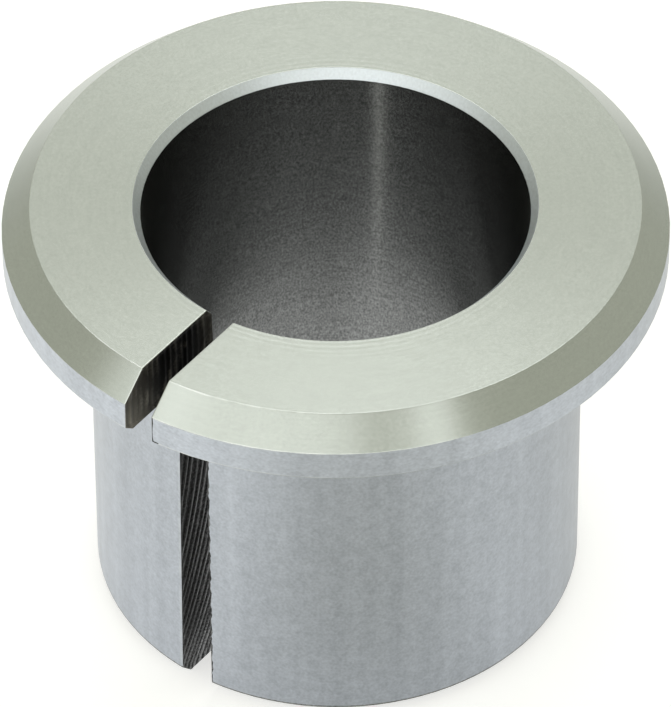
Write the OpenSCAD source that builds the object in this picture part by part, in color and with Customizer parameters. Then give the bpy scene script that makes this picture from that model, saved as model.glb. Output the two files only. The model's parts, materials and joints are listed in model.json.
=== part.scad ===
// Split flanged bushing with a tapered bore, turned from one bar of steel.
// The straight barrel drops into a drilled hole, the flange seats on the hole's rim, and a tapered
// stud drawn down into the bore spreads the slit until the barrel grips the hole.
// The foot stands on Z = 0, the axis is Z, and the slit opens towards -Y.

/* [Barrel] */
// Outside diameter of the straight barrel
barrel_d = 25.4; // [23:0.1:30]
// Height of the whole bushing, from its foot to the top of the flange
total_h = 24.6; // [12:0.1:50]
// Width of the bevel that leads the foot into its hole, measured across the foot
foot_bevel_w = 0.7; // [0.2:0.05:1.5]
// Height of the bevel that leads the foot into its hole, measured along the axis
foot_bevel_h = 0.75; // [0.2:0.05:1.5]

/* [Flange] */
// Outside diameter of the flange
flange_d = 34.1; // [32:0.1:45]
// Thickness of the flange, from its seat to its top face
flange_t = 3.55; // [3:0.05:6]
// Width of the bevel round the top of the flange, measured across the face
rim_bevel_w = 1.45; // [0.3:0.05:3]
// Height of the bevel round the top of the flange, measured along the axis
rim_bevel_h = 1.4; // [0.3:0.05:1.8]
// Width of the bevel round the edge of the flange's seat, measured across the seat
seat_bevel_w = 0.6; // [0.1:0.05:1.5]
// Height of the bevel round the edge of the flange's seat, measured along the axis
seat_bevel_h = 0.5; // [0.1:0.05:1]

/* [Tapered bore] */
// Diameter of the bore at its large end, just below the bevel at its mouth
bore_d = 19.9; // [14:0.1:22]
// Length of bore in which the diameter narrows by 1 mm, so 8 is a taper of one in eight
taper_run = 8; // [5:0.5:20]
// Width of the bevel at the bore's mouth, measured across the face
mouth_bevel_w = 0.4; // [0.1:0.05:1.5]
// Height of the bevel at the bore's mouth, measured along the axis
mouth_bevel_h = 0.5; // [0.1:0.05:2]

/* [Slit] */
// Width of the saw cut through one side of the wall
slit_w = 1.6; // [0.6:0.1:4]

/* [Hidden] */
$fn = 180;
barrel_r = barrel_d / 2;
flange_r = flange_d / 2;
bore_r = bore_d / 2;
// Height of the flange's seat above the foot
seat_z = total_h - flange_t;
// Height at which the taper begins, and the bore's radius where it comes out at the foot
taper_top_z = total_h - mouth_bevel_h;
bore_foot_r = bore_r - taper_top_z / taper_run / 2;
// How far the saw cut runs past the solid on its open sides
overrun = 1;

// Half section of the sleeve as radius and height, once round from the bore at the foot
module sleeve_section() {
    polygon([
        [bore_foot_r, 0],
        [barrel_r - foot_bevel_w, 0],
        [barrel_r, foot_bevel_h],
        [barrel_r, seat_z],
        [flange_r - seat_bevel_w, seat_z],
        [flange_r, seat_z + seat_bevel_h],
        [flange_r, total_h - rim_bevel_h],
        [flange_r - rim_bevel_w, total_h],
        [bore_r + mouth_bevel_w, total_h],
        [bore_r, taper_top_z]
    ]);
}

// Path of the saw blade, from the axis out through one side
module saw_cut() {
    translate([-slit_w / 2, -flange_r - overrun, -overrun])
        cube([slit_w, flange_r + overrun, total_h + 2 * overrun]);
}

module split_bushing() {
    color([0.71, 0.73, 0.73])
        difference() {
            rotate_extrude() sleeve_section();
            saw_cut();
        }
}

split_bushing();
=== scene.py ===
# %% [markdown]
# # A split bushing, turned and sawn
#
# The object is one piece of steel. It was turned on a lathe, so almost all of it is a profile carried round
# one axis, and then a saw opened one side of it from top to foot. This lesson loads the plain solid and
# rebuilds it as one closed mesh with broken edges and saw marks. Then each surface gets the finish that its
# tool left, and some colours carry painted light and shade.

# %% Load the solid part
import json
import math

import bpy
import numpy as np
from mathutils import Matrix, Vector


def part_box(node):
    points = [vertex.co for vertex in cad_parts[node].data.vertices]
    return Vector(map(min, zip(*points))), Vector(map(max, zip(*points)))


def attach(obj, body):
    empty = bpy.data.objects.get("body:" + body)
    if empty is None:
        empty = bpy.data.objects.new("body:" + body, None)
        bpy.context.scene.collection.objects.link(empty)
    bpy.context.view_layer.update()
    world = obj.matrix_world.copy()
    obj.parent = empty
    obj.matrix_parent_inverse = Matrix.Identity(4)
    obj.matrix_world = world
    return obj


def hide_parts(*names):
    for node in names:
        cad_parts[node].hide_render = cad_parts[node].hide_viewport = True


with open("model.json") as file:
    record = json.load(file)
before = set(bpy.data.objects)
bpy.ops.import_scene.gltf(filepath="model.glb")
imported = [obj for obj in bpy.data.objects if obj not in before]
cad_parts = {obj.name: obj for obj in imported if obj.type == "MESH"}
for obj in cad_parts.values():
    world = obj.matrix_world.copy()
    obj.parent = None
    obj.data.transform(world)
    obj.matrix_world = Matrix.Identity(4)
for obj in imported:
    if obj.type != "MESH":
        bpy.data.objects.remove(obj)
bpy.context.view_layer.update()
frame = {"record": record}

NODE = "split_bushing"

# %% [markdown]
# ## Sizes
#
# The overall sizes come from the solid part and from its mounts, so the new mesh can't drift away from it.
# The small ones, such as bevels, are the turner's own numbers and are written here in millimetres.

# %% Sizes of the turned form
MM = 0.001
low_corner, high_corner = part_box(NODE)
mounts = {mount["name"]: mount for mount in frame["record"]["mounts"]}

total_h = high_corner[2]
flange_r = min(-low_corner[0], high_corner[0])
barrel_r = mounts["barrel"]["dims"]["r_mm"] * MM
seat_z = mounts["flange_seat"]["pos_m"][2]

foot_bevel_w = 0.7 * MM
foot_bevel_h = 0.75 * MM
seat_bevel_w = 0.6 * MM
seat_bevel_h = 0.5 * MM
rim_bevel_w = 1.45 * MM
rim_bevel_h = 1.4 * MM
bore_r = 9.95 * MM
taper_run = 8.0
mouth_bevel_w = 0.4 * MM
mouth_bevel_h = 0.5 * MM
slit_w = 1.6 * MM

taper_top_z = total_h - mouth_bevel_h
bore_foot_r = bore_r - taper_top_z / taper_run / 2
print("flange, barrel and bore radius in mm:", flange_r / MM, barrel_r / MM, bore_r / MM)

# %% [markdown]
# ## The profile
#
# A lathe never leaves a knife edge, and a real edge shows as a thin bright line because it is a small curve
# that always finds a lamp. A bevel modifier could round the edges later, but here each corner of the profile
# becomes a short arc at once, which keeps full control over the number of points. Ten corners are enough.

# %% Corners of the profile and their arcs
edge_r = np.array([0.1, 0.1, 0.1, 0.1, 0.1, 0.08, 0.04, 0.035, 0.05, 0.06]) * MM
ARC_STEPS = 5
ARC_MIDDLE = ARC_STEPS // 2

corners = np.array([
    [bore_foot_r, 0.0],
    [barrel_r - foot_bevel_w, 0.0],
    [barrel_r, foot_bevel_h],
    [barrel_r, seat_z],
    [flange_r - seat_bevel_w, seat_z],
    [flange_r, seat_z + seat_bevel_h],
    [flange_r, total_h - rim_bevel_h],
    [flange_r - rim_bevel_w, total_h],
    [bore_r + mouth_bevel_w, total_h],
    [bore_r, taper_top_z],
])


def corner_arcs(points, radius, steps):
    """Round each corner of a closed outline.

    The arc's centre lies on the corner's bisector, at radius / sin(half the corner's angle), and the arc
    runs between the two points where the circle touches the sides. Returns an array (corner, step, 2).
    """
    to_last = np.roll(points, 1, axis=0) - points
    to_next = np.roll(points, -1, axis=0) - points
    to_last /= np.linalg.norm(to_last, axis=1, keepdims=True)
    to_next /= np.linalg.norm(to_next, axis=1, keepdims=True)
    half = 0.5 * np.arccos(np.sum(to_last * to_next, axis=1))[:, None]
    bisector = to_last + to_next
    bisector /= np.linalg.norm(bisector, axis=1, keepdims=True)
    centre = points + bisector * radius[:, None] / np.sin(half)
    first = points + to_last * radius[:, None] / np.tan(half) - centre
    last = points + to_next * radius[:, None] / np.tan(half) - centre
    begin = np.arctan2(first[:, 1], first[:, 0])
    turn = np.arctan2(last[:, 1], last[:, 0]) - begin
    turn = (turn + np.pi) % (2 * np.pi) - np.pi
    angle = begin[:, None] + turn[:, None] * np.linspace(0, 1, steps)
    return centre[:, None] + radius[:, None, None] * np.stack([np.cos(angle), np.sin(angle)], axis=2)


arcs = corner_arcs(corners, edge_r, ARC_STEPS)
print("corners rounded:", len(arcs), "with", ARC_STEPS, "points each")

# %% [markdown]
# ## Seven stretches
#
# The slit's two walls have the shape of the profile itself, and they will be filled with a grid. A grid
# needs opposite sides with equal numbers of points, so the profile is cut into seven stretches: the foot, the
# barrel, the seat, the rim, the top, the mouth and the bore. The counts below make the opposite ones equal.

# %% Points along the profile
ACROSS_WALL = 64
UP_BARREL = 150
ACROSS_SEAT = 36
UP_RIM = 44
ON_FOOT_BEVEL = 12
ON_SEAT_BEVEL = 4
ON_RIM = 6
ON_MOUTH_BEVEL = 4
edge_support = 0.05 * MM


def between(start, end, count):
    """Points strictly between two ends, evenly spaced: start + (end - start) * k / (count + 1)."""
    share = np.linspace(0, 1, count + 2)[1:-1, None]
    return start + (end - start) * share


def from_middle(k):
    """Second half of a corner's arc, with its middle point."""
    return arcs[k][ARC_MIDDLE:]


def to_middle(k):
    """First half of a corner's arc, without its middle point."""
    return arcs[k][:ARC_MIDDLE]


def side(k, count):
    """Straight side of the profile after corner k: one point close to each arc, and the rest evenly spaced.

    The close points keep the smooth shading of an arc from spilling over the flat beside it.
    """
    start, end = arcs[k][-1], arcs[(k + 1) % len(arcs)][0]
    along = (end - start) / np.linalg.norm(end - start)
    first, last = start + along * edge_support, end - along * edge_support
    return np.vstack([first, between(first, last, count - 2), last])


two_halves = ARC_STEPS + 1
two_arcs = 2 * ARC_STEPS + 1
three_arcs = 3 * ARC_STEPS + 1
bore_at_seat = np.array([bore_r - (taper_top_z - seat_z) / taper_run / 2, seat_z])

foot = np.vstack([from_middle(0), side(0, ACROSS_WALL - two_halves), to_middle(1)])
barrel = np.vstack([
    from_middle(1),
    side(1, ON_FOOT_BEVEL),
    arcs[2],
    side(2, UP_BARREL - two_arcs - ON_FOOT_BEVEL),
    to_middle(3),
])
seat = np.vstack([from_middle(3), side(3, ACROSS_SEAT - two_halves), to_middle(4)])
rim = np.vstack([
    from_middle(4),
    side(4, ON_SEAT_BEVEL),
    arcs[5],
    side(5, ON_RIM),
    arcs[6],
    side(6, UP_RIM - three_arcs - ON_SEAT_BEVEL - ON_RIM),
    to_middle(7),
])
top = np.vstack([
    from_middle(7),
    side(7, ACROSS_WALL + ACROSS_SEAT - 1 - two_halves),
    to_middle(8),
])
mouth = np.vstack([
    from_middle(8),
    side(8, ON_MOUTH_BEVEL),
    arcs[9],
    between(arcs[9][-1], bore_at_seat, UP_RIM - ARC_STEPS - 4 - ON_MOUTH_BEVEL),
])
level = barrel[ARC_MIDDLE + 1:, 1]
drop = (seat_z - level[::-1]) / (seat_z - barrel[ARC_MIDDLE, 1])
bore_line = bore_at_seat + (arcs[0][0] - bore_at_seat) * drop[:UP_BARREL - ARC_STEPS + 1, None]
bore = np.vstack([bore_at_seat, bore_line, to_middle(0)])

stretches = [foot, barrel, seat, rim, top, mouth, bore]
starts = np.cumsum([0] + [len(stretch) for stretch in stretches])
profile = np.vstack(stretches)
print("points in each stretch:", [len(stretch) for stretch in stretches], "in all", len(profile))

# %% [markdown]
# ## Rings on the face
#
# The facing tool fed outwards from the bore and left a few rings that can be felt with a nail. They are a
# ripple of a few thousandths in the top stretch of the profile, so they are real shape and catch the light.

# %% Ripple in the top face
ring_pitch = 0.33 * MM
ring_depth = 0.003 * MM
ring_reach = 1.5 * MM

on_top = slice(starts[4] + ARC_MIDDLE + 1, starts[5] - ARC_MIDDLE)
from_mouth = profile[on_top, 0] - (bore_r + mouth_bevel_w)
fade = np.clip(1 - from_mouth / ring_reach, 0, 1)
profile[on_top, 1] -= ring_depth * fade * (0.5 - 0.5 * np.cos(2 * np.pi * from_mouth / ring_pitch))
print("deepest ring in mm:", round((total_h - profile[on_top, 1].min()) / MM, 4))

# %% [markdown]
# ## The saw's marks
#
# A round saw blade leaves a row of arcs, each a feed further in, which lean over more and more towards the
# foot. Bump in a material would not change the wall's shape. So the depth of the cut is a formula of the
# place on the wall, which moves real points. It fades out at the wall's edges, which stay straight.

# %% Depth of the saw marks
saw_feed = 0.46 * MM
saw_depth = 0.06 * MM
saw_fade = 0.2 * MM
saw_r = 42 * MM
saw_centre_z = 22 * MM
saw_shift = 0.37 * MM
slow_wander = 0.6
quick_wander = 0.44
ridge_change = 0.26
ridge_thinness = 1.7
ragged_length = 0.21 * MM


def ridge_height(out, up):
    """Height of the saw's marks at a place on the wall, from 0 in a groove to 1 on a ridge.

    The blade's rim is an arc, so the feed at a place is out + sqrt(saw_r^2 - (up - saw_centre_z)^2). A wave
    along the feed, whose pitch wanders with a slow and a quick wave, is raised to a power to thin its
    ridges, and changes slowly along each ridge.
    """
    feed = (out + np.sqrt(saw_r**2 - (up - saw_centre_z)**2)) / saw_feed
    along = up / saw_feed
    slow = slow_wander * np.sin(0.9 * feed + 0.7)
    quick = quick_wander * np.sin(2.3 * feed + 0.11 * along)
    wave = 0.5 + 0.5 * np.sin(2 * np.pi * feed + slow + quick)
    strength = 1 - ridge_change + ridge_change * np.sin(0.23 * along + 1.9 * feed)
    return strength * wave**ridge_thinness


def edge_distance(out, up):
    """Distance of places on the wall from the nearest straight side of the profile."""
    place = np.stack([out, up], axis=-1)[..., None, :]
    along = np.roll(corners, -1, axis=0) - corners
    share = np.clip(((place - corners) * along).sum(-1) / (along**2).sum(-1), 0, 1)
    return np.linalg.norm(place - corners - share[..., None] * along, axis=-1).min(-1)


def ragged(run):
    """Small wander of a sawn edge along its length: three waves that don't repeat together."""
    step = run / ragged_length
    middle = 0.7 * np.sin(2.37 * step + 1.1)
    shortest = 0.5 * np.sin(5.3 * step + 0.4)
    return (np.sin(step) + middle + shortest) / 2.2


print("grooves across the barrel's wall:", round((barrel_r - bore_r) / saw_feed, 1))

# %% [markdown]
# ## Carrying the profile round
#
# A Screw modifier could turn the profile, but it would stop at a plane through the axis, while the slit has
# two parallel walls. So each point of the profile gets its own start angle, asin(half the slit / radius),
# and the columns of the grid are spread from one wall round to the other. Three more columns at each
# end roll over the edge of the slit on a small quarter circle.

# %% Sweep from wall to wall
COLUMNS = 96
slit_skew = 0.035
skew_pivot = 14 * MM
slit_lean = 0.01
slit_edge_r = 0.04 * MM
edge_wander = 0.006 * MM
chip_on_barrel = 0.06 * MM
chip_on_rim = 0.04 * MM
upright_within = math.radians(22)
ROLL_ANGLES = np.radians([30, 60, 90])
NEAR_STEPS = np.array([1, 3, 6])

ahead = np.roll(profile, -1, axis=0) - profile
ahead /= np.linalg.norm(ahead, axis=1, keepdims=True)
tangent = ahead + np.roll(ahead, 1, axis=0)
tangent /= np.linalg.norm(tangent, axis=1, keepdims=True)
outward = np.stack([tangent[:, 1], -tangent[:, 0]], axis=1)
upright = np.abs(outward[:, 1]) < math.sin(upright_within)
steps = np.linalg.norm(np.diff(profile, axis=0, append=profile[:1]), axis=1)
run = np.cumsum(steps)


def half_slit(out, up, hand):
    """Distance of a plain wall from the part's middle plane, on the wall's own side.

    The saw ran a little askew, so both walls turn about a pivot, and the wall at -X leans away downwards.
    """
    askew = slit_skew * (skew_pivot - out)
    lean = slit_lean * (total_h - up) * (hand < 0)
    return slit_w / 2 + hand * askew + lean


def wall_x(out, up, hand):
    """Distance of a wall from the part's middle plane with the depth of the saw's groove."""
    shift = saw_shift * (hand > 0)
    inside = np.clip(edge_distance(out, up) / saw_fade - 0.5, 0, 1)
    return half_slit(out, up, hand) + saw_depth * inside * (1 - ridge_height(out + shift, up))


def edge_x(hand):
    """Where the turned surface ends at one edge of the slit: behind the wall by the roll and some wander.

    The edge at +X is chipped on the upright surfaces, where the saw broke out.
    """
    outside = profile[:, 0] > barrel_r - edge_r.max()
    chip = np.where(profile[:, 1] < seat_z, chip_on_barrel, chip_on_rim)
    wander = np.where((hand > 0) & upright & outside, chip, edge_wander)
    plain = half_slit(profile[:, 0], profile[:, 1], hand)
    return plain + slit_edge_r + wander * (1 + ragged(run + hand * MM))


def rolled_columns(hand):
    """Columns that roll over one edge of the slit, from the turned surface to the wall.

    At roll angle a the point lies (1 - sin a) of the way from the wall to the turned edge, and
    slit_edge_r * (1 - cos a) under the turned surface. hand is 1 for the wall at +X and -1 for the other.
    Returns (angle, point, 3).
    """
    roll = ROLL_ANGLES[:, None]
    sunk = profile[None] - outward[None] * slit_edge_r * (1 - np.cos(roll))[..., None]
    wall = wall_x(sunk[..., 0], sunk[..., 1], hand)
    x = wall + (edge_x(hand) - wall) * (1 - np.sin(roll))
    y = -np.sqrt(sunk[..., 0]**2 - x**2)
    return np.stack([hand * x, y, sunk[..., 1]], axis=2)


def turned_columns():
    """Columns of the turned surface: x = r sin t, y = -r cos t, with t from edge to edge of the slit.

    A few columns stand close to each edge, and the rest are evenly spaced.
    """
    begin = np.arcsin(edge_x(1) / profile[:, 0])
    end = 2 * np.pi - np.arcsin(edge_x(-1) / profile[:, 0])
    near = NEAR_STEPS[:, None] * edge_support / profile[:, 0]
    even = np.linspace(0, 1, COLUMNS + 1)[1:-1, None]
    t = np.vstack([begin, begin + near, begin + (end - begin) * even, end - near[::-1], end])
    up = np.broadcast_to(profile[:, 1], t.shape)
    return np.stack([profile[:, 0] * np.sin(t), -profile[:, 0] * np.cos(t), up], axis=2)


columns = np.concatenate([rolled_columns(1)[::-1], turned_columns(), rolled_columns(-1)])
column_count, loop_count = columns.shape[:2]
print("columns round the axis:", column_count, "points in each:", loop_count)

# %% [markdown]
# ## Filling the walls
#
# Each wall is filled with two grids, one up to the seat and one across the flange above it. The
# grid inside four edges is the classic blend of the edges: the two ruled surfaces between opposite edges are
# added, and the flat blend of the four corners is taken away. The edges reuse the sweep's own points, so the
# mesh stays closed.


# %% Grids of the two walls
def blended_grid(bottom, top_edge, left, right):
    """Grid inside four edges: ruled one way, plus ruled the other way, minus the blend of the corners."""
    u = np.linspace(0, 1, len(bottom))[None, :, None]
    v = np.linspace(0, 1, len(left))[:, None, None]
    ruled_up = (1 - v) * bottom[None] + v * top_edge[None]
    ruled_across = (1 - u) * left[:, None] + u * right[:, None]
    low_blend = (1 - u) * bottom[0] + u * bottom[-1]
    high_blend = (1 - u) * top_edge[0] + u * top_edge[-1]
    return ruled_up + ruled_across - (1 - v) * low_blend - v * high_blend


def stretch_points(k):
    """Numbers of the profile's points along stretch k, with the first point of the next one."""
    return np.arange(starts[k], starts[k + 1] + 1) % loop_count


FOOT, BARREL, SEAT, RIM, TOP, MOUTH, BORE = [stretch_points(k) for k in range(len(stretches))]


def wall_grids(column, hand, first_new):
    """New points of one wall and the two grids of point numbers that cover it.

    column is the sweep's end column, whose points bound the wall. The points inside come from the blended
    grids in the wall's plane, and their third coordinate is the depth of the saw cut.
    """
    flat = np.stack([-columns[column, :, 1], columns[column, :, 2]], axis=1)
    numbers = column * loop_count + np.arange(loop_count)

    inner, outer = flat[MOUTH[-1]], flat[SEAT[0]]
    seam = np.vstack([inner, between(inner, outer, ACROSS_WALL - 2), outer])
    lower = blended_grid(flat[FOOT], seam, flat[BORE[::-1]], flat[BARREL])
    upper_bottom = np.vstack([seam, flat[SEAT[1:]]])
    upper = blended_grid(upper_bottom, flat[TOP[::-1]], flat[MOUTH[::-1]], flat[RIM])

    inside = [lower[1:-1, 1:-1], seam[None, 1:-1], upper[1:-1, 1:-1]]
    new = np.vstack([part.reshape(-1, 2) for part in inside])
    ends = np.cumsum([first_new] + [part.shape[0] * part.shape[1] for part in inside])
    new_numbers = [
        np.arange(ends[k], ends[k + 1]).reshape(part.shape[:2]) for k, part in enumerate(inside)
    ]

    lower_numbers = np.empty(lower.shape[:2], int)
    lower_numbers[1:-1, 1:-1] = new_numbers[0]
    lower_numbers[-1, 1:-1] = new_numbers[1][0]
    lower_numbers[0] = numbers[FOOT]
    lower_numbers[:, 0] = numbers[BORE[::-1]]
    lower_numbers[:, -1] = numbers[BARREL]

    upper_numbers = np.empty(upper.shape[:2], int)
    upper_numbers[1:-1, 1:-1] = new_numbers[2]
    upper_numbers[0] = np.concatenate([lower_numbers[-1], numbers[SEAT[1:]]])
    upper_numbers[-1] = numbers[TOP[::-1]]
    upper_numbers[:, 0] = numbers[MOUTH[::-1]]
    upper_numbers[:, -1] = numbers[RIM]

    x = hand * wall_x(new[:, 0], new[:, 1], hand)
    return np.stack([x, -new[:, 0], new[:, 1]], axis=1), [lower_numbers, upper_numbers]


sweep_points = columns.reshape(-1, 3)
right_points, right_grids = wall_grids(0, 1, len(sweep_points))
left_points, left_grids = wall_grids(column_count - 1, -1, len(sweep_points) + len(right_points))
points = np.vstack([sweep_points, right_points, left_points])
print("points on the walls:", len(right_points) + len(left_points), "of", len(points))

# %% [markdown]
# ## One closed mesh
#
# The grids become four-sided faces. Each face also gets the number of its finish: the turned faces, the
# ground barrel and rim, the reamed bore, the sawn walls or the stoned mouth. The foot's bevel takes the
# bore's dark finish as a painted shadow where it meets the floor. A face's own direction decides between the
# rim's upright land and its bevel, and the chipped edge of the slit counts as sawn, whose dark colour paints
# shade on the barrel's and the rim's edges beside the slit.


# %% Faces and their finishes
def grid_faces(numbers):
    """Four-sided faces between neighbouring rows and columns of a grid of point numbers."""
    return np.stack(
        [numbers[:-1, :-1], numbers[1:, :-1], numbers[1:, 1:], numbers[:-1, 1:]], axis=2
    ).reshape(-1, 4)


TURNED, GROUND, REAMED, SAWN, STONED = range(5)

around = np.arange(column_count * loop_count).reshape(column_count, loop_count)
around = np.concatenate([around, around[:, :1]], axis=1)
sweep_faces = grid_faces(around)

finish_of_point = np.full(loop_count, TURNED)
finish_of_point[starts[1]:starts[2]] = GROUND
in_rim = (np.arange(loop_count) >= starts[3]) & (np.arange(loop_count) < starts[4])
finish_of_point[in_rim & upright] = GROUND
finish_of_point[starts[5]:] = STONED
bore_edge = starts[5] + ARC_MIDDLE + ON_MOUTH_BEVEL + ARC_STEPS - 1
finish_of_point[bore_edge:] = REAMED
# The foot's bevel takes the dark bore finish: a painted shadow where it meets the floor.
foot_shadow_end = starts[1] + len(from_middle(1)) + ON_FOOT_BEVEL + ARC_STEPS
finish_of_point[starts[1]:foot_shadow_end] = REAMED

ROLL_STRIPS = len(ROLL_ANGLES)
sweep_finish = np.tile(finish_of_point, column_count - 1).reshape(column_count - 1, loop_count)
# The barrel's and rim's rolled edges at the slit get the dark sawn finish: painted shade beside the slit.
sweep_finish[:ROLL_STRIPS, finish_of_point == GROUND] = SAWN
sweep_finish[-1] = SAWN
rim_foot = starts[3] + ARC_MIDDLE + ON_SEAT_BEVEL + np.arange(1, ARC_STEPS + 1)
sweep_finish[:ROLL_STRIPS + len(NEAR_STEPS), rim_foot] = SAWN

wall_faces = np.vstack(
    [grid_faces(grid)[:, ::-1] for grid in right_grids] + [grid_faces(grid) for grid in left_grids]
)
faces = np.vstack([sweep_faces, wall_faces])
finish = np.concatenate([sweep_finish.ravel(), np.full(len(wall_faces), SAWN)])
print("faces:", len(faces), "triangles:", 2 * len(faces))

# %% [markdown]
# ### From arrays to an object
#
# The arrays go into the mesh in one step, which always gives the same order of points. Modelling by hand
# would not. Two measures are printed for the skin: the number of edges that don't have exactly two faces,
# and the enclosed volume.


# %% Mesh from arrays
def solid_from_arrays(name, points, faces, finish):
    """Object at the origin whose mesh has these points, four-sided faces and finish numbers."""
    mesh = bpy.data.meshes.new(name)
    mesh.from_pydata(points.tolist(), [], faces.tolist())
    mesh.polygons.foreach_set("material_index", finish.astype(np.int32))
    mesh.polygons.foreach_set("use_smooth", np.ones(len(faces), bool))
    mesh.update()
    body = bpy.data.objects.new(name, mesh)
    bpy.context.scene.collection.objects.link(body)
    return body


def enclosed_volume(points, faces):
    """Volume inside a closed mesh: a sixth of the sum of each triangle's a . (b x c)."""
    corner = points[faces]
    first = np.einsum("ij,ij->i", corner[:, 0], np.cross(corner[:, 1], corner[:, 2]))
    second = np.einsum("ij,ij->i", corner[:, 0], np.cross(corner[:, 2], corner[:, 3]))
    return (first + second).sum() / 6


def open_edges(faces):
    """Number of edges that don't have exactly two faces."""
    pairs = np.sort(np.stack([faces, np.roll(faces, -1, axis=1)], axis=2).reshape(-1, 2), axis=1)
    return int((np.unique(pairs, axis=0, return_counts=True)[1] != 2).sum())


bushing = solid_from_arrays("bushing_body", points, faces, finish)
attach(bushing, "root")
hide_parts(NODE)
print("volume in mm3:", round(enclosed_volume(points, faces) / MM**3, 1), "open edges:", open_edges(faces))

# %% [markdown]
# ## Finishes
#
# All the surfaces are the same bare steel, and the tool's marks tell them apart, while the darker bore,
# the paler mouth and rim and the edges carry painted light and shade in their colours. Bare steel is a metal
# in the Principled shader: its base colour is the colour of its reflections. Small changes of colour,
# roughness and height over the surface make it look worked. The patterns follow the lathe, so they
# read the place on the part as angle, radius and height. Most values of a noise lie in NOISE_RANGE.


# %% Helpers for node materials
# Paler steel, with noisy gaps, for the painted highlight along the edges.
HIGHLIGHT_STEEL = (0.72, 0.745, 0.75)
HIGHLIGHT_GAP_PATCH = 0.9 * MM
HIGHLIGHT_GAP_RANGE = (0.35, 0.65)
NOISE_RANGE = (0.3, 0.7)
QUARTER_TURN = 0.25


def add_node(tree, kind, **settings):
    """New node with some of its settings."""
    made = tree.nodes.new(kind)
    for name, value in settings.items():
        setattr(made, name, value)
    return made


def plug(tree, value, socket):
    """Link an output to a socket, or set the socket to a plain number or colour."""
    if isinstance(value, bpy.types.NodeSocket):
        tree.links.new(value, socket)
    else:
        socket.default_value = value


def math_node(tree, operation, *values):
    """Result of a Math node."""
    made = add_node(tree, "ShaderNodeMath", operation=operation)
    for value, socket in zip(values, made.inputs):
        plug(tree, value, socket)
    return made.outputs[0]


def spread(tree, value, lowest, highest, start=0.0, stop=1.0):
    """Map Range node: start to stop becomes lowest to highest, and no further."""
    made = add_node(tree, "ShaderNodeMapRange")
    for socket, number in zip(made.inputs, [value, start, stop, lowest, highest]):
        plug(tree, number, socket)
    return made.outputs[0]


def blended(tree, *shares):
    """Sum of values, each times its share."""
    total = 0.0
    for value, share in shares:
        total = math_node(tree, "MULTIPLY_ADD", value, share, total)
    return total


def noise(tree, place, size, detail=2.0):
    """Noise whose patches are about size metres across."""
    made = add_node(tree, "ShaderNodeTexNoise")
    plug(tree, place, made.inputs["Vector"])
    made.inputs["Scale"].default_value = 1 / size
    made.inputs["Detail"].default_value = detail
    return made.outputs["Fac"]


def tinted(tree, share, dark, light):
    """Colour between two colours."""
    made = add_node(tree, "ShaderNodeMix", data_type="RGBA")
    plug(tree, share, made.inputs["Factor"])
    plug(tree, (*dark, 1), made.inputs["A"])
    plug(tree, (*light, 1), made.inputs["B"])
    return made.outputs["Result"]


def stretched(tree, place, along, out, up):
    """Place with its three coordinates multiplied, so a pattern is longer where the number is small."""
    made = add_node(tree, "ShaderNodeVectorMath", operation="MULTIPLY")
    plug(tree, place, made.inputs[0])
    plug(tree, (along, out, up), made.inputs[1])
    return made.outputs[0]


def lathe_place(tree):
    """Place on the part as (angle times barrel_r, radius, height), with the angle's seam in the slit."""
    coordinates = add_node(tree, "ShaderNodeTexCoord").outputs["Object"]
    apart = add_node(tree, "ShaderNodeSeparateXYZ")
    tree.links.new(coordinates, apart.inputs[0])
    x, y, z = apart.outputs
    angle = math_node(tree, "ARCTAN2", x, y)
    flat = add_node(tree, "ShaderNodeCombineXYZ")
    plug(tree, math_node(tree, "MULTIPLY", angle, barrel_r), flat.inputs[0])
    square = math_node(tree, "ADD", math_node(tree, "MULTIPLY", x, x), math_node(tree, "MULTIPLY", y, y))
    plug(tree, math_node(tree, "SQRT", square), flat.inputs[1])
    plug(tree, z, flat.inputs[2])
    return flat.outputs[0]


def raised(tree, height, depth):
    """Normal of a surface whose height runs from 0 to depth metres."""
    made = add_node(tree, "ShaderNodeBump")
    made.inputs["Distance"].default_value = depth
    plug(tree, height, made.inputs["Height"])
    return made.outputs["Normal"]


def edge_highlighted(tree, place, colour):
    """Colour that turns bright along the part's edges as a painted highlight, with gaps in it."""
    shine = add_node(tree, "ShaderNodeAttribute", attribute_name="shine").outputs["Fac"]
    gaps = spread(tree, noise(tree, place, HIGHLIGHT_GAP_PATCH, 3.0), 0.0, 1.0, *HIGHLIGHT_GAP_RANGE)
    made = add_node(tree, "ShaderNodeMix", data_type="RGBA")
    plug(tree, math_node(tree, "MULTIPLY", shine, gaps), made.inputs["Factor"])
    plug(tree, colour, made.inputs["A"])
    plug(tree, (*HIGHLIGHT_STEEL, 1), made.inputs["B"])
    return made.outputs["Result"]


def steel_finish(name, stretch_of_gloss):
    """Bare metal without a colour yet: its material, its node tree and its shader.

    The gloss is drawn out across the lathe's marks, which is a quarter turn from the way round the axis.
    """
    material = bpy.data.materials.new(name)
    material.use_nodes = True
    tree = material.node_tree
    shader = tree.nodes["Principled BSDF"]
    shader.inputs["Metallic"].default_value = 1.0
    shader.inputs["Anisotropic"].default_value = stretch_of_gloss
    shader.inputs["Anisotropic Rotation"].default_value = QUARTER_TURN
    round_axis = add_node(tree, "ShaderNodeTangent", direction_type="RADIAL", axis="Z")
    tree.links.new(round_axis.outputs[0], shader.inputs["Tangent"])
    return material, tree, shader


# %% [markdown]
# ### Turned faces
#
# The top, the bevels and the seat were cut by one pointed tool. Its feed leaves fine rings, and the steel
# there is a little warm and greenish. A ring is a noise that is drawn out round the axis.

# %% Turned finish
fine_grain = 0.14 * MM
ring_width = 0.2 * MM
ring_drawn_out = 0.03
cloud_size = 0.9 * MM
turned_dark = (0.488, 0.521, 0.503)
turned_pale = (0.538, 0.573, 0.553)
turned_rough = (0.25, 0.27)
turned_bump = 0.0004 * MM


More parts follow.
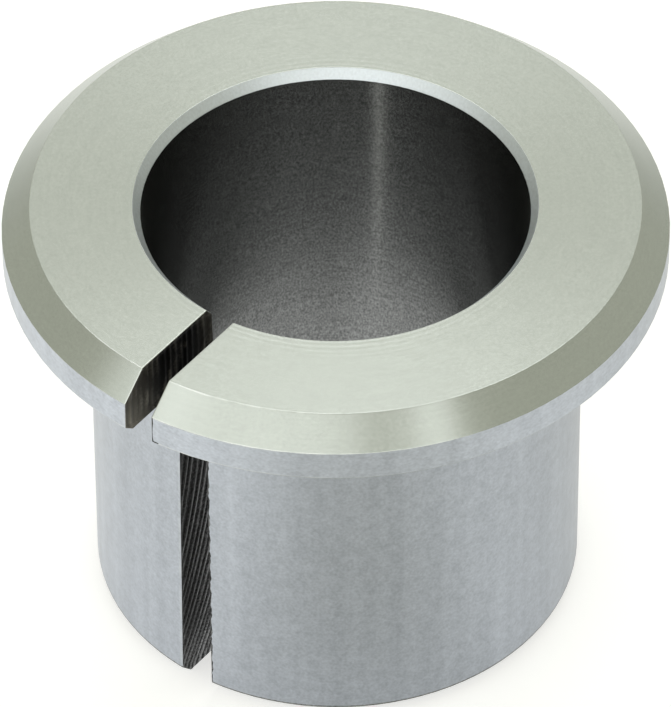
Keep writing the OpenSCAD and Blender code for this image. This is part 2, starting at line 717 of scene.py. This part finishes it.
def turned_finish():
    """Turned steel: rings, grain and clouds in its colour, and grain in its gloss and height."""
    material, tree, shader = steel_finish("turned_face", 0.5)
    place = lathe_place(tree)
    rings = noise(tree, stretched(tree, place, ring_drawn_out, 1.0, 1.0), ring_width, 1.0)
    grain = noise(tree, place, fine_grain, 1.0)
    clouds = noise(tree, place, cloud_size, 3.0)
    worked = blended(tree, (rings, 0.22), (grain, 0.53), (clouds, 0.25))
    shade = spread(tree, worked, 0.0, 1.0, *NOISE_RANGE)
    colour = tinted(tree, shade, turned_dark, turned_pale)
    plug(tree, edge_highlighted(tree, place, colour), shader.inputs["Base Color"])
    plug(tree, spread(tree, grain, *turned_rough, *NOISE_RANGE), shader.inputs["Roughness"])
    plug(tree, raised(tree, grain, turned_bump), shader.inputs["Normal"])
    return material


turned_face = turned_finish()
print("finish:", turned_face.name, "with", len(turned_face.node_tree.nodes), "nodes")

# %% [markdown]
# ### Ground barrel and rim
#
# The barrel and the rim's land were ground. Grinding leaves a fine even speckle and faint upright bands
# where the wheel chattered, on a cooler, bluish steel. The rim's colour is made a little paler as painted
# light.

# %% Ground finish
patch_size = 0.5 * MM
band_width = 0.9 * MM
band_drawn_out = 0.03
ground_dark = (0.39, 0.416, 0.463)
ground_pale = (0.536, 0.57, 0.632)
ground_range = (0.34, 0.66)
ground_rough = (0.30, 0.40)
ground_bump = 0.003 * MM
rim_light_lift = 1.12


def ground_finish():
    """Ground steel: speckle, patches and bands in its colour, which is multiplied from barrel to rim as
    painted light.
    """
    material, tree, shader = steel_finish("ground_barrel", 0.2)
    place = lathe_place(tree)
    speckle = noise(tree, place, fine_grain, 1.0)
    patches = noise(tree, place, patch_size, 3.0)
    bands = noise(tree, stretched(tree, place, 1.0, 1.0, band_drawn_out), band_width, 2.0)
    worked = blended(tree, (speckle, 0.45), (patches, 0.3), (bands, 0.25))
    shade = spread(tree, worked, 0.0, 1.0, *ground_range)
    colour = tinted(tree, shade, ground_dark, ground_pale)
    apart = add_node(tree, "ShaderNodeSeparateXYZ")
    plug(tree, place, apart.inputs[0])
    radius = apart.outputs[1]
    # Colour made paler towards the rim: painted light.
    rim_lift_node = add_node(tree, "ShaderNodeVectorMath", operation="SCALE")
    plug(tree, colour, rim_lift_node.inputs[0])
    plug(tree, spread(tree, radius, 1.0, rim_light_lift, barrel_r, flange_r), rim_lift_node.inputs["Scale"])
    plug(tree, edge_highlighted(tree, place, rim_lift_node.outputs[0]), shader.inputs["Base Color"])
    plug(tree, spread(tree, speckle, *ground_rough, *NOISE_RANGE), shader.inputs["Roughness"])
    plug(tree, raised(tree, speckle, ground_bump), shader.inputs["Normal"])
    return material


ground_barrel = ground_finish()
print("finish:", ground_barrel.name, "with", len(ground_barrel.node_tree.nodes), "nodes")

# %% [markdown]
# ### Reamed bore
#
# The taper was cut with a coarse feed. Its colour is darker than the other steel as painted shade inside
# the bore. Its marks run round the bore, so the light that they scatter is drawn out into a narrow upright
# streak.

# %% Reamed finish
mark_width = 0.15 * MM
mark_drawn_out = 0.07
# Dark colours: painted shade inside the bore, also used on the foot's bevel.
bore_shade_dark = (0.143, 0.147, 0.145)
bore_shade_pale = (0.33, 0.339, 0.334)
reamed_rough = (0.22, 0.24)
reamed_bump = 0.0008 * MM


def reamed_finish():
    """Reamed steel: marks round the bore and grain in a colour darkened as painted shade, and grain in its
    gloss and height.
    """
    material, tree, shader = steel_finish("reamed_bore", 0.8)
    place = lathe_place(tree)
    marks = noise(tree, stretched(tree, place, mark_drawn_out, 1.0, 1.0), mark_width, 1.0)
    grain = noise(tree, place, fine_grain, 1.0)
    worked = blended(tree, (marks, 0.2), (grain, 0.8))
    shade = spread(tree, worked, 0.0, 1.0, *NOISE_RANGE)
    plug(tree, tinted(tree, shade, bore_shade_dark, bore_shade_pale), shader.inputs["Base Color"])
    plug(tree, spread(tree, grain, *reamed_rough, *NOISE_RANGE), shader.inputs["Roughness"])
    plug(tree, raised(tree, grain, reamed_bump), shader.inputs["Normal"])
    return material


reamed_bore = reamed_finish()
print("finish:", reamed_bore.name, "with", len(reamed_bore.node_tree.nodes), "nodes")

# %% [markdown]
# ### Stoned mouth
#
# The mouth's bevel was broken by hand with a stone, which leaves an even sheen without rings. Its colour is
# paler than the other steel as a painted highlight.

# %% Stoned finish
stone_grain = 0.15 * MM
# Pale colours: painted highlight on the mouth's bevel.
mouth_highlight_dark = (0.62, 0.665, 0.71)
mouth_highlight_pale = (0.69, 0.74, 0.79)
stoned_rough = (0.44, 0.5)


def stoned_finish():
    """Stoned steel: one even grain in its colour, which is pale as a painted highlight, and in its gloss."""
    material, tree, shader = steel_finish("stoned_bevel", 0.0)
    place = lathe_place(tree)
    grain = noise(tree, place, stone_grain, 1.0)
    shade = spread(tree, grain, 0.0, 1.0, *NOISE_RANGE)
    plug(tree, tinted(tree, shade, mouth_highlight_dark, mouth_highlight_pale), shader.inputs["Base Color"])
    plug(tree, spread(tree, grain, *stoned_rough, *NOISE_RANGE), shader.inputs["Roughness"])
    return material


stoned_bevel = stoned_finish()
print("finish:", stoned_bevel.name, "with", len(stoned_bevel.node_tree.nodes), "nodes")

# %% [markdown]
# ### Sawn walls
#
# The saw's walls were left as cut. Their grooves are near black as painted shade of the narrow slit, and the
# ridges are paler as a painted highlight on the real saw marks, less towards the barrel's outside. On the
# flange a brown film of old oil covers them, which is near black as painted shade in the middle of the wall,
# and one wall turns paler towards its two ends as painted light.

# %% Sawn finish
sawn_grain = 0.12 * MM
grain_share = 0.25
film_patch = 1.1 * MM
film_range = (0.45, 0.7)
film_fade = 0.8 * MM
# Near-black grooves are painted shade of the slit, and pale ridges a painted highlight.
groove_shade_steel = (0.034, 0.034, 0.035)
ridge_highlight_steel = (0.56, 0.57, 0.58)
# Near-black film is painted shade deep in the slit, and its brown tint is old oil.
film_in_shade = (0.01, 0.01, 0.01)
oil_film_in_light = (0.30, 0.28, 0.24)
sawn_rough = (0.6, 0.35)
sawn_bump = 0.006 * MM
outer_ridge_share = 0.35
dim_depth = 1.7 * MM
end_light_share = 0.7
end_light_from = 1.4 * MM
end_light_full = 3.9 * MM


def sawn_finish():
    """Sawn steel: painted highlight on ridges and grain, painted shade in grooves, and above the flange's
    seat a film in place of the steel.
    """
    material, tree, shader = steel_finish("sawn_wall", 0.0)
    coordinates = add_node(tree, "ShaderNodeTexCoord").outputs["Object"]
    apart = add_node(tree, "ShaderNodeSeparateXYZ")
    plug(tree, coordinates, apart.inputs[0])
    x, y, z = apart.outputs
    ridge = add_node(tree, "ShaderNodeAttribute", attribute_name="ridge").outputs["Fac"]
    grain = noise(tree, coordinates, sawn_grain, 2.0)
    patches = noise(tree, coordinates, film_patch, 3.0)
    speckle = spread(tree, grain, -grain_share, grain_share, *NOISE_RANGE)
    bright = blended(tree, (ridge, 0.9), (speckle, 1.0))

    # Ridges are paler inwards and dimmer towards the barrel's outside.
    ridge_share = spread(tree, y, outer_ridge_share, 1.0, -barrel_r, dim_depth - barrel_r)
    steel = tinted(tree, math_node(tree, "MULTIPLY", bright, ridge_share), groove_shade_steel, ridge_highlight_steel)

    # The wall at -X turns paler towards its two ends: painted light where the slit opens.
    from_middle_wall = math_node(tree, "ABSOLUTE", math_node(tree, "ADD", y, barrel_r))
    end_light = spread(tree, from_middle_wall, 0.0, end_light_share, end_light_from, end_light_full)
    lit_wall = math_node(tree, "LESS_THAN", x, 0.0)
    spots = spread(tree, patches, 0.0, 1.0, *film_range)
    film_light = blended(tree, (math_node(tree, "MULTIPLY", bright, spots), 1.0), (end_light, lit_wall))
    film = tinted(tree, film_light, film_in_shade, oil_film_in_light)

    colour = add_node(tree, "ShaderNodeMix", data_type="RGBA")
    plug(tree, spread(tree, z, 0.0, 1.0, seat_z - film_fade, seat_z), colour.inputs["Factor"])
    plug(tree, steel, colour.inputs["A"])
    plug(tree, film, colour.inputs["B"])
    plug(tree, colour.outputs["Result"], shader.inputs["Base Color"])
    plug(tree, spread(tree, bright, *sawn_rough), shader.inputs["Roughness"])
    plug(tree, raised(tree, grain, sawn_bump), shader.inputs["Normal"])
    return material


sawn_wall = sawn_finish()
print("finish:", sawn_wall.name, "with", len(sawn_wall.node_tree.nodes), "nodes")

# %% [markdown]
# ### Painted highlights on the edges
#
# The edges get a paler colour as a painted highlight, most of all on the flange beside the slit. Two
# numbers are stored on the points for the finishes to read: the height of the saw's ridges, and the strength
# of an edge's painted highlight. They go on the points because the sweep already knows which of its points
# lie on an edge.

# %% Finishes on the bushing
HIGHLIT_CORNERS = [5, 6, 7]
HIGHLIT_COLUMNS = 2
on_arc = 0.01 * MM
highlight_middle = math.radians(8)
highlight_reach = math.radians(42)
slit_highlight = 0.3

for material in [turned_face, ground_barrel, reamed_bore, sawn_wall, stoned_bevel]:
    bushing.data.materials.append(material)

shift = np.where(points[:, 0] > 0, saw_shift, 0)
ridge = ridge_height(-points[:, 1] + shift, points[:, 2]).astype(np.float32)
bushing.data.attributes.new("ridge", "FLOAT", "POINT").data.foreach_set("value", ridge)

# Painted highlight on the edges, strongest just beside the slit on its +X side.
round_slit = np.arctan2(columns[..., 0], -columns[..., 1])
highlight_share = np.clip(1 - np.abs(round_slit - highlight_middle) / highlight_reach, 0, 1)
on_edge = np.zeros((column_count, loop_count), np.float32)
for k in HIGHLIT_CORNERS:
    gap = np.linalg.norm(profile[:, None] - arcs[k][None], axis=2).min(axis=1)
    on_edge[:, gap < on_arc] = highlight_share[:, gap < on_arc]
on_edge[:ROLL_STRIPS] = finish_of_point == TURNED
on_edge[-ROLL_STRIPS - HIGHLIT_COLUMNS:-1] = slit_highlight * (finish_of_point == GROUND)
shine = np.zeros(len(points), np.float32)
shine[:on_edge.size] = on_edge.ravel()
bushing.data.attributes.new("shine", "FLOAT", "POINT").data.foreach_set("value", shine)
print("finishes:", [material.name for material in bushing.data.materials])
print("points on bright edges:", int((shine > 0).sum()), "of", len(points))

# %% [markdown]
# ## Camera
#
# The camera stands where the photographer stood: a little over 40 degrees up, with the slit to the left of
# the middle, and far away with a long lens, so upright edges stay almost parallel.

# %% Camera at the photographer's place
IMAGE_W, IMAGE_H = 671, 707
SENSOR = 36.0
camera_turn = math.radians(35.1)
camera_rise = math.radians(43.42)
camera_roll = -0.0057
camera_far = 405.5 * MM
focus_in_pixels = 7825
aim_up = 13.95 * MM
aim_right = -0.047 * MM

right = Vector((math.cos(camera_turn), math.sin(camera_turn), 0))
back = Vector((
    math.sin(camera_turn) * math.cos(camera_rise),
    -math.cos(camera_turn) * math.cos(camera_rise),
    math.sin(camera_rise),
))
up = back.cross(right)
tilted_right = right * math.cos(camera_roll) + up * math.sin(camera_roll)
tilted_up = up * math.cos(camera_roll) - right * math.sin(camera_roll)
aim = right * aim_right + Vector((0, 0, aim_up))

camera_data = bpy.data.cameras.new("camera")
camera_data.sensor_width = SENSOR
camera_data.lens = focus_in_pixels * SENSOR / max(IMAGE_W, IMAGE_H)
camera = bpy.data.objects.new("camera", camera_data)
camera.matrix_world = Matrix.Translation(aim + back * camera_far) @ Matrix(
    (tilted_right, tilted_up, back)
).transposed().to_4x4()
bpy.context.scene.collection.objects.link(camera)
bpy.context.scene.camera = camera
print("lens in mm:", round(camera_data.lens, 1))

# %% [markdown]
# ## Floor
#
# A white floor is the plainest studio. It shows white to the camera because it glows a little for those rays
# only, and the rest of its brightness is real light, so the bushing still throws a soft shadow. Steel
# mirrors what stands round it, and the barrel and the rim mirror the floor. So the glow that they see has a
# pattern of its own, which is darker towards the camera, where the photographer stood in the light.

# %% Floor
floor_half = 3.0
floor_drop = 0.01 * MM
floor_colour = 0.68
glow_to_camera = 0.55
glow_in_metal = 0.5
glow_near = 60 * MM
glow_end = 150 * MM
glow_at_foot = 0.14
foot_glow_reach = 12 * MM
glow_in_bore = 0.41
bore_shade_from = 0.62
glow_under = 0.38
rim_sees = 45 * MM
shade_turn = math.radians(8)
clear_beyond = math.radians(42)
shade_share = 0.25
right_share = 0.64


def facing(tree, coordinates, turn):
    """How far a place on the floor lies towards one side: the cosine of the angle between the two."""
    flat = add_node(tree, "ShaderNodeVectorMath", operation="NORMALIZE")
    plug(tree, coordinates, flat.inputs[0])
    dot = add_node(tree, "ShaderNodeVectorMath", operation="DOT_PRODUCT")
    plug(tree, flat.outputs[0], dot.inputs[0])
    plug(tree, (math.sin(turn), -math.cos(turn), 0), dot.inputs[1])
    return dot.outputs["Value"]


def floor_glow(tree):
    """Glow of the floor: one strength for rays from the camera, and a pattern for mirrored rays.

    In the metal the glow rises from under the flange outwards and fades far away. It is multiplied by a dark
    sector towards the camera and by a dimmer right side. The foot and the bore add a small glow.
    """
    path = add_node(tree, "ShaderNodeLightPath").outputs
    mirrored = math_node(tree, "MAXIMUM", path["Is Glossy Ray"], path["Is Transmission Ray"])
    coordinates = add_node(tree, "ShaderNodeTexCoord").outputs["Object"]
    length = add_node(tree, "ShaderNodeVectorMath", operation="LENGTH")
    plug(tree, coordinates, length.inputs[0])
    far = length.outputs["Value"]

    to_camera = facing(tree, coordinates, camera_turn + shade_turn)
    to_right = facing(tree, coordinates, camera_turn + math.pi / 2)
    dark_front = spread(tree, to_camera, 1.0, shade_share, math.cos(clear_beyond), 1.0)
    dim_right = spread(tree, to_right, 1.0, right_share, 0.0, 1.0)
    shaded = math_node(tree, "MULTIPLY", dark_front, dim_right)

    risen = spread(tree, far, glow_under, glow_in_metal, barrel_r, rim_sees)
    near = spread(tree, far, 1.0, 0.0, glow_near, glow_end)
    at_foot = spread(tree, far, glow_at_foot, 0.0, barrel_r, barrel_r + foot_glow_reach)
    in_bore = spread(tree, far, glow_in_bore, 0.0, bore_shade_from * bore_foot_r, bore_foot_r)
    outside = math_node(tree, "MULTIPLY_ADD", math_node(tree, "MULTIPLY", shaded, near), risen, at_foot)
    in_metal = math_node(tree, "MULTIPLY", mirrored, math_node(tree, "ADD", outside, in_bore))
    return blended(tree, (path["Is Camera Ray"], glow_to_camera), (in_metal, 1.0))


def floor_finish():
    """Matt white floor with the glow of floor_glow."""
    material = bpy.data.materials.new("white_floor")
    material.use_nodes = True
    tree = material.node_tree
    shader = tree.nodes["Principled BSDF"]
    shader.inputs["Base Color"].default_value = (floor_colour, floor_colour, floor_colour, 1)
    shader.inputs["Roughness"].default_value = 1.0
    shader.inputs["Specular IOR Level"].default_value = 0.0
    shader.inputs["Emission Color"].default_value = (1, 1, 1, 1)
    plug(tree, floor_glow(tree), shader.inputs["Emission Strength"])
    return material


floor_mesh = bpy.data.meshes.new("floor")
signs = np.array([[-1, -1, 0], [1, -1, 0], [1, 1, 0], [-1, 1, 0]])
floor_corners = signs * floor_half - np.array([0, 0, floor_drop])
floor_mesh.from_pydata(floor_corners.tolist(), [], [[0, 1, 2, 3]])
floor_mesh.materials.append(floor_finish())
floor = bpy.data.objects.new("floor", floor_mesh)
bpy.context.scene.collection.objects.link(floor)
print("floor's side in m:", 2 * floor_half)

# %% [markdown]
# ## Lamps and sky
#
# Nine soft panels stand round the bushing, all equally far away. Each is there for a surface that mirrors
# it: the strips for the flange's bevel, the low ones for the far side of the mouth, and those at the back for
# the top face. They are large and weak, so that no face burns white. The sky is an even light, and shows
# white to the camera.

# %% Lamps and sky
lamp_far = 0.6
sky_glow = 0.58
sky_colour = (1.0, 1.0, 0.83)
WHITE = (1.0, 1.0, 1.0)


def softbox(name, turn, rise, width, height, power):
    """Lamp panel that faces the bushing, turned from the camera's side and raised, both in degrees."""
    angle = camera_turn + math.radians(turn)
    lift = math.radians(rise)
    way = Vector((
        math.sin(angle) * math.cos(lift),
        -math.cos(angle) * math.cos(lift),
        math.sin(lift),
    ))
    lamp = bpy.data.lights.new(name, "AREA")
    lamp.shape = "RECTANGLE"
    lamp.size = width
    lamp.size_y = height
    lamp.energy = power
    holder = bpy.data.objects.new(name, lamp)
    holder.location = way * lamp_far + Vector((0, 0, total_h / 2))
    holder.rotation_euler = way.to_track_quat("Z", "Y").to_euler()
    bpy.context.scene.collection.objects.link(holder)
    return holder


softbox("left_strip", -60, 41, 0.2, 0.24, 0.06)
softbox("front_strip", -28, 46, 0.57, 0.24, 0.25)
softbox("right_strip", 36, 45, 0.1, 0.24, 0.05)
softbox("low_left", -66, 28, 0.26, 0.22, 0.12)
softbox("low_front", -13, 28, 0.6, 0.26, 0.65)
softbox("low_right", 27, 28, 0.2, 0.26, 0.22)
softbox("back_wide", 180, 43, 0.6, 0.4, 0.16)
softbox("back_top", 180, 63, 0.4, 0.2, 0.65)
softbox("back_low", 180, 14, 0.5, 0.26, 0.4)

world = bpy.data.worlds.new("studio")
world.use_nodes = True
sky_tree = world.node_tree
sky = sky_tree.nodes["Background"]
seen = add_node(sky_tree, "ShaderNodeLightPath").outputs["Is Camera Ray"]
plug(sky_tree, spread(sky_tree, seen, sky_glow, 1.0), sky.inputs["Strength"])
plug(sky_tree, tinted(sky_tree, seen, sky_colour, WHITE), sky.inputs["Color"])
bpy.context.scene.world = world
bpy.context.scene.view_settings.view_transform = "Standard"

# %% Update the scene
bpy.context.view_layer.update()
